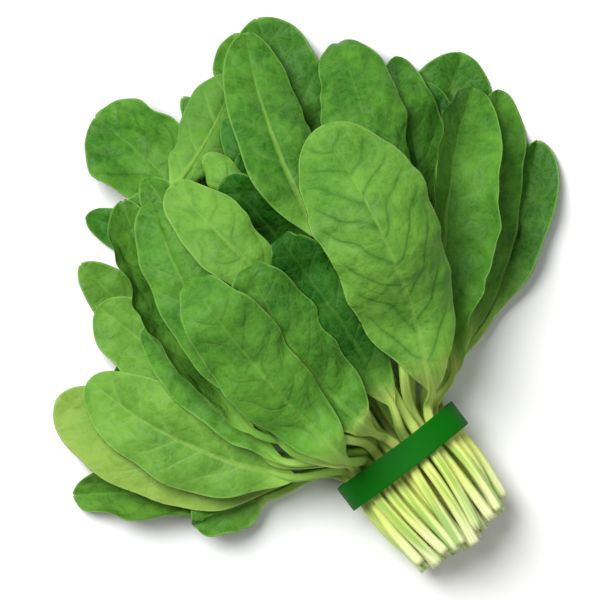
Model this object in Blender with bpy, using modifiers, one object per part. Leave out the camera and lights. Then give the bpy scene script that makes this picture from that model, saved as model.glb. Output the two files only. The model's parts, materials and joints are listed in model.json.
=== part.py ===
"""Bunch of flat-leaf spinach, tied with one plain flat band and lying on its side.

The bunch lies along +Y: the cut stem ends are at -Y, the leaf tips fan out towards +Y and
+Z is up. Every leaf is one closed solid, blade and stem grown as one. The stems pass through
the band in level rows, and the leaves are laid one after another from the bottom up, each
resting on those already laid. Lengths are in millimetres until the meshes are made.
"""

import math
from dataclasses import dataclass

import bmesh
import bpy
import numpy as np

MM = 0.001
COLLECTION = "spinach_bunch"

# The band: a flat strip round the stems, in the plane Y = 0.
BAND_HALF_WIDTH = 31.3
BAND_HALF_HEIGHT = 17.3
BAND_THICKNESS = 0.9
BAND_STRIP = 12.8
BAND_SEGMENTS = 48
BAND_COLOUR = (0.009, 0.156, 0.006)
AXIS_HEIGHT = BAND_HALF_HEIGHT + BAND_THICKNESS

# The rows of stems inside the band, from the bottom row up.
STEM_PITCH = 5.8
ROW_SPACING = 5.0
ROW_COUNT = 6
ROW_SPREAD = 0.03
STEM_RADII = (2.35, 2.4, 2.4, 2.2, 2.0)
BASE_RADIUS = 1.9
STEM_EXIT = 8.0
STEM_END = -44.0
STEM_CONVERGENCE = 0.88
ROW_SKEW = (2.0, -2.5, 1.5, -2.0, 2.0, -3.0)

# Sections along a leaf: stations of the stem, then of the blade from its base to its tip.
BLADE_STATIONS = (0.0, 0.09, 0.22, 0.38, 0.55, 0.72, 0.86, 0.96, 1.0)
STEM_SECTIONS = len(STEM_RADII)
SECTION_SIDES = 8
BLADE_THICKNESS = 0.9
RIB_DEPTH = 1.3
MIDRIB_GROOVE = 0.3
TIP_WIDTH_SHARE = 0.16

# How the leaves are laid on one another.
CELL = 1.0
GRID_LOW = (-175.0, -70.0)
GRID_CELLS = (350, 320)
LEAF_GAP = 1.15
PILE_START = 12.0
SAMPLES_ALONG = 20
SAMPLES_ACROSS = 10
SETTLING_PASSES = 90
CLEARING_PASSES = 40
FIXED = 3

BRIGHT = (0.210, 0.418, 0.093)
MIDDLE = (0.130, 0.325, 0.065)
DEEP = (0.056, 0.200, 0.032)
YELLOWING = (0.335, 0.556, 0.125)


@dataclass(frozen=True)
class Leaf:
    """One leaf: where its stem sits, where its blade runs and how the blade is shaped.

    row, column: place in the band, the row from the bottom, the column from the middle.
    base, tip: ends of the blade seen from above. bow: how far the midrib curves to the
    right of the line between them. roll: degrees about the midrib, right side up.
    fold: degrees that each half rises from the midrib. arch: rise of the midrib's middle
    above a straight line, or its sag where negative. lift: height of the tip above what it would rest on.
    widest: where along the blade its greatest width is.
    """

    name: str
    row: int
    column: float
    base: tuple
    tip: tuple
    width: float
    bow: float = 1.5
    roll: float = 0.0
    fold: float = 5.0
    arch: float = -6.0
    lift: float = 0.0
    widest: float = 0.58
    colour: tuple = MIDDLE


# From the bottom of the bunch to its top: the order in which the leaves are laid.
LEAVES = (
    Leaf("leaf_low_left_folded", 0, -2.5, (-66, 26), (-128, 75), 34, fold=24, roll=6, arch=2),
    Leaf("leaf_under_left", 0, -1.5, (-40, 40), (-80, 108), 36, colour=DEEP),
    Leaf("leaf_under_middle", 0, -0.5, (-8, 80), (-16, 160), 36, colour=DEEP),
    Leaf("leaf_under_top", 0, 0.5, (40, 90), (68, 168), 40, colour=DEEP),
    Leaf("leaf_under_right", 0, 1.5, (62, 48), (124, 90), 32, colour=DEEP),
    Leaf("leaf_low_left_short", 1, -4, (-60, 22), (-93, 32), 24, roll=12, fold=14),
    Leaf("leaf_left_edge", 1, -3, (-54, 60), (-63, 155), 30, roll=6, fold=10, widest=0.5),
    Leaf("leaf_left_small_tip", 1, -2, (-28, 130), (-48, 171), 18, fold=10, colour=DEEP),
    Leaf("leaf_round_upper_left", 1, -1, (-8, 150), (-18, 204), 46, fold=6, arch=2, widest=0.55),
    Leaf("leaf_top_tiny_tip", 1, 0, (12, 130), (19, 187), 14),
    Leaf("leaf_behind_top_left", 1, 1, (33, 130), (54, 196), 38, roll=-10),
    Leaf("leaf_top_back", 1, 2, (48, 108), (67, 195), 40, roll=-4, bow=-2, widest=0.62),
    Leaf("leaf_top_right_back", 1, 3, (56, 78), (131, 127), 42, roll=-6),
    Leaf("leaf_far_right", 1, 4, (70, 26), (134, 75), 28, fold=22, roll=-8, arch=2, widest=0.6),
    Leaf("leaf_left_yellowing", 2, -4.5, (-47, 23), (-107, 114), 44, bow=-8, colour=YELLOWING),
    Leaf("leaf_left_upper", 2, -3.5, (-48, 40), (-68, 136), 38, roll=8, colour=BRIGHT),
    Leaf("leaf_left_inner_low", 2, -2.5, (-36, 90), (-25, 165), 28, roll=16, fold=10),
    Leaf("leaf_left_inner", 2, -1.5, (-24, 80), (-16, 168), 30, roll=16, fold=8),
    Leaf("leaf_underside_up", 2, -0.5, (-9, 156), (44, 181), 34, bow=3, fold=-8, arch=3),
    Leaf("leaf_small_inner_tip", 2, 0.5, (20, 110), (29, 168), 22, roll=6, colour=DEEP),
    Leaf("leaf_inner_dark", 2, 1.5, (19, 90), (25, 151), 30, roll=-10, colour=DEEP),
    Leaf("leaf_right_under", 2, 2.5, (60, 58), (108, 128), 34, colour=DEEP),
    Leaf("leaf_right_narrow", 2, 3.5, (50, 38), (106, 144), 32, roll=-26, fold=8),
    Leaf("leaf_right_edge", 2, 4.5, (54, 24), (134, 104), 32, roll=-20, fold=10),
    Leaf("leaf_left_large", 3, -4, (-44, 22), (-91, 112), 40, bow=-7, fold=6, arch=5, colour=BRIGHT),
    Leaf("leaf_left_sliver_low", 3, -3, (-48, 36), (-41, 92), 16, roll=30, colour=DEEP),
    Leaf("leaf_left_sliver", 3, -2, (-44, 32), (-58, 116), 28, roll=24, fold=8, bow=-3),
    Leaf("leaf_left_cupped", 3, -1, (-46, 50), (-30, 166), 36, bow=-7, roll=8, fold=28),
    Leaf("leaf_small_round", 3, 2, (11, 130), (11, 160), 17, fold=-8, widest=0.5, colour=BRIGHT),
    Leaf("leaf_inner_pale_edge", 3, 1, (15, 84), (11, 146), 32, roll=16, colour=DEEP),
    Leaf("leaf_top_left", 5, 2, (30, 98), (59, 193), 34, bow=-5, roll=-8, fold=10, arch=3),
    Leaf("leaf_top_centre", 4, 2.5, (54, 76), (90, 165), 40, fold=-4, arch=5, widest=0.62),
    Leaf("leaf_right_tall", 3, 4, (40, 16), (125, 112), 48, bow=-8, roll=-24, fold=22, arch=6),
    Leaf("leaf_inner_sliver", 4, -3.5, (-38, 34), (-37, 98), 18, roll=26, colour=DEEP),
    Leaf("leaf_inner_low", 3, 0, (-10, 34), (-19, 76), 26),
    Leaf("leaf_inner_ridge", 4, -1.5, (-36, 55), (-20, 158), 32, roll=18, fold=12, bow=-5),
    Leaf("leaf_upper_bright", 4, -0.5, (3, 90), (-8, 158), 31, bow=-2, arch=3, colour=BRIGHT),
    Leaf("leaf_middle_shaded", 5, 1, (10, 22), (15, 110), 34, roll=-6, colour=DEEP),
    Leaf("leaf_middle", 5, 0, (-4, 17), (-3, 109), 38, bow=-6, roll=-6, arch=3),
    Leaf("leaf_middle_left", 4, -2.5, (-21, 15), (-27, 118), 37, bow=-3, roll=4, arch=5, widest=0.54),
    Leaf("leaf_front_large", 4, 3.5, (28, 16), (58, 139), 57, bow=7, fold=-4, arch=10, colour=BRIGHT),
)


def smooth_step(value):
    """Ease from 0 to 1 without a corner."""
    value = np.clip(value, 0.0, 1.0)
    return value * value * (3.0 - 2.0 * value)


def slot(leaf):
    """Place of a leaf's stem in the band: distance from the middle, and height."""
    across = leaf.column * STEM_PITCH
    height = AXIS_HEIGHT + (leaf.row - (ROW_COUNT - 1) / 2.0) * ROW_SPACING
    return across, height


def blade_line(leaf, stations):
    """Points of the midrib seen from above, at shares of the blade's length."""
    base = np.array(leaf.base, float)
    tip = np.array(leaf.tip, float)
    along = tip - base
    length = np.hypot(*along)
    right = np.array((along[1], -along[0])) / length
    share = np.asarray(stations)[:, None]
    return base + share * along + 4.0 * share * (1.0 - share) * leaf.bow * right


def stem_line(leaf, across):
    """Points of the stem seen from above: cut end, both sides of the band, then the bend."""
    base = np.array(leaf.base, float)
    leave = np.array((across, STEM_EXIT))
    ahead = blade_line(leaf, (0.0, 0.02))
    end_way = (ahead[1] - ahead[0]) / np.hypot(*(ahead[1] - ahead[0]))
    reach = np.hypot(*(base - leave))
    ragged = 2.2 * math.sin(2.4 * leaf.column + 1.7 * leaf.row)
    stem_end = STEM_END - 4.0 * math.cos(leaf.column * math.pi / 9.0) + ragged
    cut = (across * STEM_CONVERGENCE + ROW_SKEW[leaf.row], stem_end)
    points = [cut, (across, -STEM_EXIT), tuple(leave)]
    free = STEM_SECTIONS - len(points)
    for number in range(1, free + 1):
        share = number / (free + 1.0)
        start = 2.0 * share**3 - 3.0 * share**2 + 1.0
        start_way = share**3 - 2.0 * share**2 + share
        stop = 3.0 * share**2 - 2.0 * share**3
        stop_way = share**3 - share**2
        bend = start * leave + stop * base
        bend = bend + 0.7 * reach * (start_way * np.array((0.0, 1.0)) + stop_way * end_way)
        points.append(tuple(bend))
    return np.array(points)


def half_width(leaf, station):
    """Half the blade's width: narrow at the base, round at the tip."""
    tip_power = 0.5
    base_power = tip_power * leaf.widest / (1.0 - leaf.widest)
    peak = leaf.widest**base_power * (1.0 - leaf.widest) ** tip_power
    shape = station**base_power * (1.0 - station) ** tip_power / peak
    return 0.5 * leaf.width * max(shape, TIP_WIDTH_SHARE if station > 0.5 else 0.0)


def section_offsets(leaf, station):
    """Offsets of one section's corners from the midrib: to the right, and up."""
    angles = np.arange(SECTION_SIDES) * 2.0 * math.pi / SECTION_SIDES
    if station is None:
        return np.cos(angles), np.sin(angles)
    grown = smooth_step(station / 0.12)
    wide = half_width(leaf, station)
    across = np.array((1.0, 0.5, 0.0, -0.5, -1.0, -0.5, 0.0, 0.5)) * wide
    rib = RIB_DEPTH * (1.0 - 0.7 * station)
    half = BLADE_THICKNESS / 2.0
    groove = MIDRIB_GROOVE * math.sin(math.pi * station)
    up = np.array((0.0, half, half - groove, half, 0.0, -half, -half - rib, -half))
    fold = math.radians(leaf.fold)
    share = np.abs(across) / max(wide, 0.01)
    up = up + np.abs(across) * math.tan(fold) * share**0.5
    across = across * math.cos(fold * 0.8)
    round_across = BASE_RADIUS * np.cos(angles)
    round_up = BASE_RADIUS * np.sin(angles)
    across = grown * across + (1.0 - grown) * round_across
    up = grown * up + (1.0 - grown) * round_up
    roll = math.radians(leaf.roll) * float(smooth_step(station / 0.3))
    turned_across = across * math.cos(roll) - up * math.sin(roll)
    turned_up = across * math.sin(roll) + up * math.cos(roll)
    return turned_across, turned_up


def lay_out(leaf):
    """Corners of every section of a leaf, lying flat, and its distance along the leaf."""
    across, _ = slot(leaf)
    line = np.vstack((stem_line(leaf, across), blade_line(leaf, BLADE_STATIONS)))
    steps = np.hypot(*np.diff(line, axis=0).T)
    distance = np.concatenate(((0.0,), np.cumsum(steps)))
    way = np.gradient(line, distance, axis=0)
    way = way / np.hypot(way[:, 0], way[:, 1])[:, None]
    way[:3] = (0.0, 1.0)
    corners = np.zeros((len(line), SECTION_SIDES, 3))
    for number in range(len(line)):
        if number < STEM_SECTIONS:
            offset_across, offset_up = section_offsets(leaf, None)
            offset_across = offset_across * STEM_RADII[number]
            offset_up = offset_up * STEM_RADII[number]
        else:
            station = BLADE_STATIONS[number - STEM_SECTIONS]
            offset_across, offset_up = section_offsets(leaf, station)
        right = np.array((way[number, 1], -way[number, 0]))
        corners[number, :, :2] = line[number] + offset_across[:, None] * right
        corners[number, :, 2] = offset_up
    return corners, distance


def spread_samples(corners):
    """Points all over each span between two sections, as (span, sample, xyz)."""
    along = np.linspace(0.0, 1.0, SAMPLES_ALONG)[:, None, None, None]
    around = np.linspace(0.0, 1.0, SAMPLES_ACROSS)[None, :, None, None]
    samples = []
    for number in range(len(corners) - 1):
        first = corners[number]
        second = corners[number + 1]
        edge = first * (1.0 - along) + second * along
        next_edge = np.roll(first, -1, axis=0) * (1.0 - along) + np.roll(second, -1, axis=0) * along
        points = edge * (1.0 - around) + next_edge * around
        samples.append(points.reshape(-1, 3))
    return np.array(samples)


class Pile:
    """Height of all that has been laid so far, on a square grid over the surface."""

    def __init__(self):
        self.height = np.zeros(GRID_CELLS)
        self.cover = np.zeros(GRID_CELLS)

    def cells(self, points):
        """Grid cell under each point."""
        column = ((points[..., 0] - GRID_LOW[0]) / CELL).astype(int)
        line = ((points[..., 1] - GRID_LOW[1]) / CELL).astype(int)
        return column, line

    def under(self, points):
        """Height to clear under each point: the pile near it, or the bare surface."""
        cover = self.cover[self.cells(points)]
        return np.where(cover > 0.0, cover + LEAF_GAP, 0.0)

    def add(self, points):
        """Raise the pile to points that lie beyond the band."""
        beyond = points[points[..., 1] > PILE_START]
        np.maximum.at(self.height, self.cells(beyond), beyond[:, 2])
        cover = self.height.copy()
        for shift in (-1, 1):
            for axis in (0, 1):
                cover = np.maximum(cover, np.roll(self.height, shift, axis=axis))
        self.cover = cover


def push_clear(height, needed, share, first):
    """Raise the sections at both ends of each span until its worst sample is clear."""
    for span in range(first - 1, len(height) - 1):
        short = needed[span] - (1.0 - share) * height[span] - share * height[span + 1]
        worst = int(short.argmax())
        if short[worst] <= 0.0:
            continue
        far = share[worst]
        near = 1.0 - far if span >= first else 0.0
        push = short[worst] / (near * near + far * far)
        height[span] += push * near
        height[span + 1] += push * far


def settle(leaf, corners, distance, pile):
    """Heights of the midrib at each section, so that the leaf lies on the pile."""
    _, stem_height = slot(leaf)
    samples = spread_samples(corners)
    share = np.repeat(np.linspace(0.0, 1.0, SAMPLES_ALONG), SAMPLES_ACROSS * SECTION_SIDES)
    needed = pile.under(samples) - samples[..., 2]
    needed[samples[..., 1] < PILE_START] = -1000.0
    needed[FIXED - 1, share < 0.6] = -1000.0
    rest_tip = needed[-1][share > 0.7].max()
    height = np.full(len(corners), stem_height)
    row_offset = stem_height - AXIS_HEIGHT
    spread = row_offset * ROW_SPREAD * (distance[FIXED] - distance[FIXED - 1])
    curve = 8.0 * leaf.arch / (distance[-1] - distance[STEM_SECTIONS]) ** 2
    for turn in range(SETTLING_PASSES + CLEARING_PASSES):
        relaxing = turn < SETTLING_PASSES
        if relaxing:
            height[-1] = rest_tip + leaf.lift
            for number in range(FIXED + 1, len(height) - 1):
                before = distance[number] - distance[number - 1]
                after = distance[number + 1] - distance[number]
                mean = height[number - 1] * after + height[number + 1] * before
                height[number] = mean / (before + after) + 0.5 * curve * before * after
            height[FIXED] = stem_height + spread
        push_clear(height, needed, share, FIXED)
    return height


def lay_leaves():
    """Lay every leaf on those before it and return the corners of its sections."""
    pile = Pile()
    laid = []
    for leaf in LEAVES:
        corners, distance = lay_out(leaf)
        height = settle(leaf, corners, distance, pile)
        corners[:, :, 2] += height[:, None]
        pile.add(spread_samples(corners).reshape(-1, 3))
        laid.append(corners)
    return laid


def plain_material(name, colour, roughness):
    """A Principled material of one colour."""
    material = bpy.data.materials.new(name)
    material.use_nodes = True
    shader = material.node_tree.nodes["Principled BSDF"]
    shader.inputs["Base Color"].default_value = (*colour, 1.0)
    shader.inputs["Roughness"].default_value = roughness
    shader.inputs["Metallic"].default_value = 0.0
    return material


def add_object(name, mesh, collection, colour, roughness):
    """Put a mesh in the collection as an object with its own material."""
    mesh.materials.append(plain_material(name + "_surface", colour, roughness))
    part = bpy.data.objects.new(name, mesh)
    collection.objects.link(part)
    return part


def make_leaf(leaf, corners, centre, collection):
    """Build a leaf from a capped cylinder: ring it along its length and move each ring."""
    rings = len(corners)
    shape = bmesh.new()
    bmesh.ops.create_cone(
        shape, cap_ends=True, segments=SECTION_SIDES, radius1=1.0, radius2=1.0, depth=1.0
    )
    upright = [edge for edge in shape.edges if abs(edge.verts[0].co.z - edge.verts[1].co.z) > 0.5]
    bmesh.ops.subdivide_edges(shape, edges=upright, cuts=rings - 2, use_grid_fill=True)
    for vertex in shape.verts:
        ring = round((vertex.co.z + 0.5) * (rings - 1))
        turn = math.atan2(vertex.co.y, vertex.co.x) / (2.0 * math.pi)
        side = round(turn * SECTION_SIDES) % SECTION_SIDES
        place = corners[ring, side]
        vertex.co = ((place[0] - centre[0]) * MM, (place[1] - centre[1]) * MM, place[2] * MM)
    bmesh.ops.reverse_faces(shape, faces=shape.faces)
    mesh = bpy.data.meshes.new(leaf.name)
    shape.to_mesh(mesh)
    shape.free()
    mesh.shade_smooth()
    mesh.set_sharp_from_angle(angle=math.radians(60))
    return add_object(leaf.name, mesh, collection, leaf.colour, 0.5)


def make_band(centre, collection):
    """The tie: an open elliptical sleeve round the stems, thickened outwards."""
    shape = bmesh.new()
    bmesh.ops.create_cone(
        shape, cap_ends=False, segments=BAND_SEGMENTS, radius1=1.0, radius2=1.0, depth=BAND_STRIP
    )
    for vertex in shape.verts:
        across, up, along = vertex.co
        vertex.co = (
            (across * BAND_HALF_WIDTH - centre[0]) * MM,
            (along - centre[1]) * MM,
            (up * BAND_HALF_HEIGHT + AXIS_HEIGHT) * MM,
        )
    bmesh.ops.reverse_faces(shape, faces=shape.faces)
    mesh = bpy.data.meshes.new("tie_band")
    shape.to_mesh(mesh)
    shape.free()
    mesh.shade_smooth()
    band = add_object("tie_band", mesh, collection, BAND_COLOUR, 0.45)
    skin = band.modifiers.new("strip_thickness", "SOLIDIFY")
    skin.thickness = BAND_THICKNESS * MM
    skin.offset = 1.0
    return band


def main():
    """Clear the scene, lay the leaves and build every solid."""
    for old in list(bpy.data.objects):
        bpy.data.objects.remove(old, do_unlink=True)
    collection = bpy.data.collections.new(COLLECTION)
    bpy.context.scene.collection.children.link(collection)
    laid = lay_leaves()
    corners = np.concatenate([leaf_corners.reshape(-1, 3) for leaf_corners in laid])
    centre = 0.5 * (corners.min(axis=0) + corners.max(axis=0))
    make_band(centre, collection)
    for leaf, leaf_corners in zip(LEAVES, laid):
        make_leaf(leaf, leaf_corners, centre, collection)


if __name__ == "__main__":
    main()
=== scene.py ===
"""Looks of a tied spinach bunch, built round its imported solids.

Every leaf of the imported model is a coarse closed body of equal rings. This script reads those
rings back, runs smooth curves through them and lofts each leaf again as one fine body: a ridged
stem, a midrib that thins towards the tip, a thin blade with side veins pressed into it and a
wavy margin. The band is made again as a fine strip of elastic. Lengths are in metres, with MM
for values given in millimetres.
"""

from __future__ import annotations

import json
import logging
import math
from collections.abc import Callable, Iterator
from dataclasses import dataclass, field
from enum import Enum
from functools import partial

import bmesh
import bpy
import numpy as np
from mathutils import Matrix, Vector


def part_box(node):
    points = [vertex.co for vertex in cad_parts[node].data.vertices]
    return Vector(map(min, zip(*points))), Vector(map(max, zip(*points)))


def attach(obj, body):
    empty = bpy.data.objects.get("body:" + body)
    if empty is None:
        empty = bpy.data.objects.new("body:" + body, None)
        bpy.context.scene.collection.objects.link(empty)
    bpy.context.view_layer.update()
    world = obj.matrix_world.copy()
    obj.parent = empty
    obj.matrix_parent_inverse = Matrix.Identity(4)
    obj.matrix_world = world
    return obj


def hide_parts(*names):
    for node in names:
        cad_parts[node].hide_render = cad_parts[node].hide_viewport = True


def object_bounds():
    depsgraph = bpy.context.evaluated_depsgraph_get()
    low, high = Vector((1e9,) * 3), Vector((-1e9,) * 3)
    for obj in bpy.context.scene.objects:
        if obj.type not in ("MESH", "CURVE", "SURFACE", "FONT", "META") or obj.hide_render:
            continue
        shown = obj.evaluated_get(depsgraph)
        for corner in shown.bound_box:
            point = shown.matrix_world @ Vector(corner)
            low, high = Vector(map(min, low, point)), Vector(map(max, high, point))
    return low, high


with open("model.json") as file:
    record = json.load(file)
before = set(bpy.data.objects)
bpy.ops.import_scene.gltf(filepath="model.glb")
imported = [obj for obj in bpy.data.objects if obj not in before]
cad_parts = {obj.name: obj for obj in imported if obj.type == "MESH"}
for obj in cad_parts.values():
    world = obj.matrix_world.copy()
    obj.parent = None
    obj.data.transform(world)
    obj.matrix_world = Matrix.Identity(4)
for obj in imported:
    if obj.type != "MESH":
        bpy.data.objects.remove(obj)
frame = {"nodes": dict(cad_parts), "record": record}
SOLID_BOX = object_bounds()

MM = 0.001
FULL_TURN = 2.0 * math.pi
VEIN_SPACING = 15.5 * MM
LOG = logging.getLogger("spinach_bunch")


# --- Small helpers -------------------------------------------------------------------------


def linear(hex_colour: str, alpha: float = 1.0) -> tuple[float, float, float, float]:
    """Turn an sRGB hex colour into linear light.

    Args:
        hex_colour: six hex digits, with or without a leading hash.
        alpha: opacity to append.

    Returns:
        Red, green, blue and alpha.
    """
    digits = hex_colour.lstrip("#")
    channels = []
    for start in (0, 2, 4):
        value = int(digits[start:start + 2], 16) / 255.0
        channels.append(value / 12.92 if value <= 0.04045 else ((value + 0.055) / 1.055) ** 2.4)
    return (channels[0], channels[1], channels[2], alpha)


def smooth_step(value: np.ndarray | float, low: float = 0.0, high: float = 1.0) -> np.ndarray:
    """Ease from 0 at low to 1 at high.

    Args:
        value: numbers to ease.
        low: where the result leaves 0.
        high: where the result reaches 1.

    Returns:
        The eased numbers.
    """
    share = np.clip((np.asarray(value, float) - low) / (high - low), 0.0, 1.0)
    return share * share * (3.0 - 2.0 * share)


def spline(knots: np.ndarray, values: np.ndarray, at: np.ndarray) -> np.ndarray:
    """Natural cubic spline through values.

    Args:
        knots: rising positions, one for each value.
        values: array whose first axis follows the knots.
        at: positions to read.

    Returns:
        Array whose first axis follows at.
    """
    count = len(knots)
    flat = values.reshape(count, -1)
    gaps = np.diff(knots)
    matrix = np.eye(count)
    right = np.zeros_like(flat)
    for row in range(1, count - 1):
        matrix[row, row - 1] = gaps[row - 1]
        matrix[row, row] = 2.0 * (gaps[row - 1] + gaps[row])
        matrix[row, row + 1] = gaps[row]
        slope_after = (flat[row + 1] - flat[row]) / gaps[row]
        slope_before = (flat[row] - flat[row - 1]) / gaps[row - 1]
        right[row] = 6.0 * (slope_after - slope_before)
    bend = np.linalg.solve(matrix, right)
    span = np.clip(np.searchsorted(knots, at, side="right") - 1, 0, count - 2)
    gap = gaps[span][:, None]
    after = (at - knots[span])[:, None] / gap
    before = 1.0 - after
    curve = (before**3 - before) * bend[span] + (after**3 - after) * bend[span + 1]
    result = before * flat[span] + after * flat[span + 1] + curve * gap * gap / 6.0
    return result.reshape((len(at),) + values.shape[1:])


def unit(vectors: np.ndarray) -> np.ndarray:
    """Scale vectors along the last axis to length one."""
    return vectors / np.maximum(np.linalg.norm(vectors, axis=-1, keepdims=True), 1e-12)


def add_node(
    tree: bpy.types.NodeTree,
    kind: str,
    inputs: tuple | dict[str | int, object] = (),
    output: str | int = 0,
    **settings: object,
) -> bpy.types.NodeSocket | None:
    """Add one shader node, set it up and link it.

    Args:
        tree: node tree to add to.
        kind: class name of the node, after its ShaderNode.
        inputs: constants, or the sockets that feed it, in order or by name.
        output: which output to give back.
        **settings: properties of the node.

    Returns:
        The output asked for, or None where the node has none.
    """
    made = tree.nodes.new("ShaderNode" + kind)
    for name, value in settings.items():
        setattr(made, name, value)
    for name, value in inputs.items() if isinstance(inputs, dict) else enumerate(inputs):
        if isinstance(value, bpy.types.NodeSocket):
            tree.links.new(value, made.inputs[name])
        else:
            made.inputs[name].default_value = value
    return made.outputs[output] if made.outputs else None


def bare_material(name: str) -> tuple[bpy.types.Material, bpy.types.NodeTree]:
    """Make a material whose node tree is empty.

    Args:
        name: name of the material.

    Returns:
        The material and its node tree.
    """
    made = bpy.data.materials.new(name)
    made.use_nodes = True
    made.node_tree.nodes.clear()
    return made, made.node_tree


def put_in_scene(name: str, shape: bmesh.types.BMesh) -> bpy.types.Object:
    """Turn a finished shape into an object of the scene, and free the shape.

    Args:
        name: name of the object and of its mesh.
        shape: the finished shape.

    Returns:
        The object.
    """
    mesh = bpy.data.meshes.new(name)
    shape.to_mesh(mesh)
    shape.free()
    made = bpy.data.objects.new(name, mesh)
    bpy.context.scene.collection.objects.link(made)
    return made


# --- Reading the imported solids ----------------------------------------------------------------

STEM_RINGS = 5
RING_SIDES = 8
BLADE_STATIONS = np.array((0.0, 0.09, 0.22, 0.38, 0.55, 0.72, 0.86, 0.96, 1.0))
LAST_STATION = 0.9998
SAME_POINT = 0.002 * MM
CUT_FLATNESS = 0.05 * MM


@dataclass(frozen=True)
class LeafRings:
    """The rings of one packed leaf, from its cut end to its tip.

    Corner 0 of each ring is the right margin, 2 the top, 4 the left margin and 6 the bottom.
    """

    corners: np.ndarray

    @classmethod
    def read(cls, node: bpy.types.Object) -> LeafRings:
        """Find the rings of a packed leaf by walking its mesh from the cut end.

        Args:
            node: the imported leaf.

        Returns:
            Its rings, in order, with matching corners.
        """
        shape = bmesh.new()
        shape.from_mesh(node.data)
        bmesh.ops.remove_doubles(shape, verts=shape.verts, dist=SAME_POINT)
        lowest = min(vertex.co.y for vertex in shape.verts)
        ring = {vertex for vertex in shape.verts if vertex.co.y < lowest + CUT_FLATNESS}
        seen = set(ring)
        rings = [ring]
        while len(seen) < len(shape.verts):
            following = set()
            for vertex in ring:
                following |= {edge.other_vert(vertex) for edge in vertex.link_edges}
            ring = following - seen
            seen |= ring
            rings.append(ring)
        ordered = [cls._round_order(rings[1])]
        ordered.insert(0, cls._matched(rings[0], ordered[0]))
        for ring in rings[2:]:
            ordered.append(cls._matched(ring, ordered[-1]))
        corners = np.array([[tuple(vertex.co) for vertex in ring] for ring in ordered])
        shape.free()
        return cls(corners)

    @staticmethod
    def _round_order(ring: set) -> list:
        """Order a ring inside the band by its turn about +Y, from +X through +Z.

        Args:
            ring: the ring's vertices.

        Returns:
            The ring's vertices, in order.
        """
        across = sum(vertex.co.x for vertex in ring) / len(ring)
        up = sum(vertex.co.z for vertex in ring) / len(ring)
        turns = {}
        for vertex in ring:
            turn = math.atan2(vertex.co.z - up, vertex.co.x - across) / FULL_TURN
            turns[round(turn * RING_SIDES) % RING_SIDES] = vertex
        return [turns[side] for side in range(RING_SIDES)]

    @staticmethod
    def _matched(ring: set, known: list) -> list:
        """Order a ring so that its corners follow those of the ring beside it.

        Args:
            ring: the ring's vertices.
            known: the ordered ring beside it.

        Returns:
            The ring's vertices, in order.
        """
        loop = [next(iter(ring))]
        while len(loop) < RING_SIDES:
            for edge in loop[-1].link_edges:
                other = edge.other_vert(loop[-1])
                outside = any(set(face.verts) - ring for face in edge.link_faces)
                if other in ring and outside and other not in loop:
                    loop.append(other)
                    break
        best = None
        for ordered in (loop, loop[::-1]):
            for turn in range(RING_SIDES):
                tried = ordered[turn:] + ordered[:turn]
                pairs = list(zip(tried, known))
                joined = sum(
                    any(edge.other_vert(near) is far for edge in near.link_edges)
                    for near, far in pairs
                )
                apart = sum((near.co - far.co).length for near, far in pairs)
                score = (-joined, apart)
                if best is None or score < best[0]:
                    best = (score, tried)
        return best[1]

    def centres(self) -> np.ndarray:
        """Find the line that the leaf grows along.

        Returns:
            Centre of each ring: the middle of a stem, the upper midrib of a blade.
        """
        stem, blade = self.corners[:STEM_RINGS + 1], self.corners[STEM_RINGS + 1:]
        return np.vstack((stem.mean(axis=1), 0.88 * blade[:, 2] + 0.12 * blade[:, 6]))


# --- Leaves ---------------------------------------------------------------------------------


class Tone(Enum):
    """How far a leaf has grown, which sets its green. The values are the record's slots."""

    BRIGHT = "leaf_bright"
    MIDDLE = "leaf_middle"
    DEEP = "leaf_deep"
    YELLOWING = "leaf_yellowing"


class Face(Enum):
    """Which face of a leaf is turned up."""

    UPPER = "upper"
    UNDERSIDE = "underside"


@dataclass(frozen=True)
class LeafLook:
    """What sets one leaf apart from the others.

    light runs from -1, darkest of its tone, to 1: partly the leaf's own tone and partly painted
    shade on leaves that lie in the shade of others. gold from 0 to 1 yellows the tip and margin;
    veins runs from 0, dark sunken side veins with painted shade in their furrows, to 1, pale
    ones; rib from 0, green midrib, to 1, pale; green_stem from 0, pale petiole just above the
    band, to 1, green. left and right are how far that half of the blade rolls up, in degrees;
    tip is how far the tip is lifted, in mm; slim scales the width; wave and quilt scale the
    waviness of the margins and the swelling between the veins.
    """

    light: float = 0.0
    gold: float = 0.0
    veins: float = 0.35
    rib: float = 0.4
    left: float = 0.0
    right: float = 0.0
    tip: float = 0.0
    slim: float = 1.0
    wave: float = 1.0
    quilt: float = 1.0
    green_stem: float = 0.5
    face: Face = Face.UPPER


@dataclass
class LeafSurface:
    """A leaf laid out as a grid of sections by points across, in metres."""

    middle: np.ndarray
    normal: np.ndarray
    across: np.ndarray
    share: np.ndarray
    along: np.ndarray
    from_cut: np.ndarray
    grown: np.ndarray
    station: np.ndarray
    half_width: np.ndarray
    radius: np.ndarray


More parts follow.
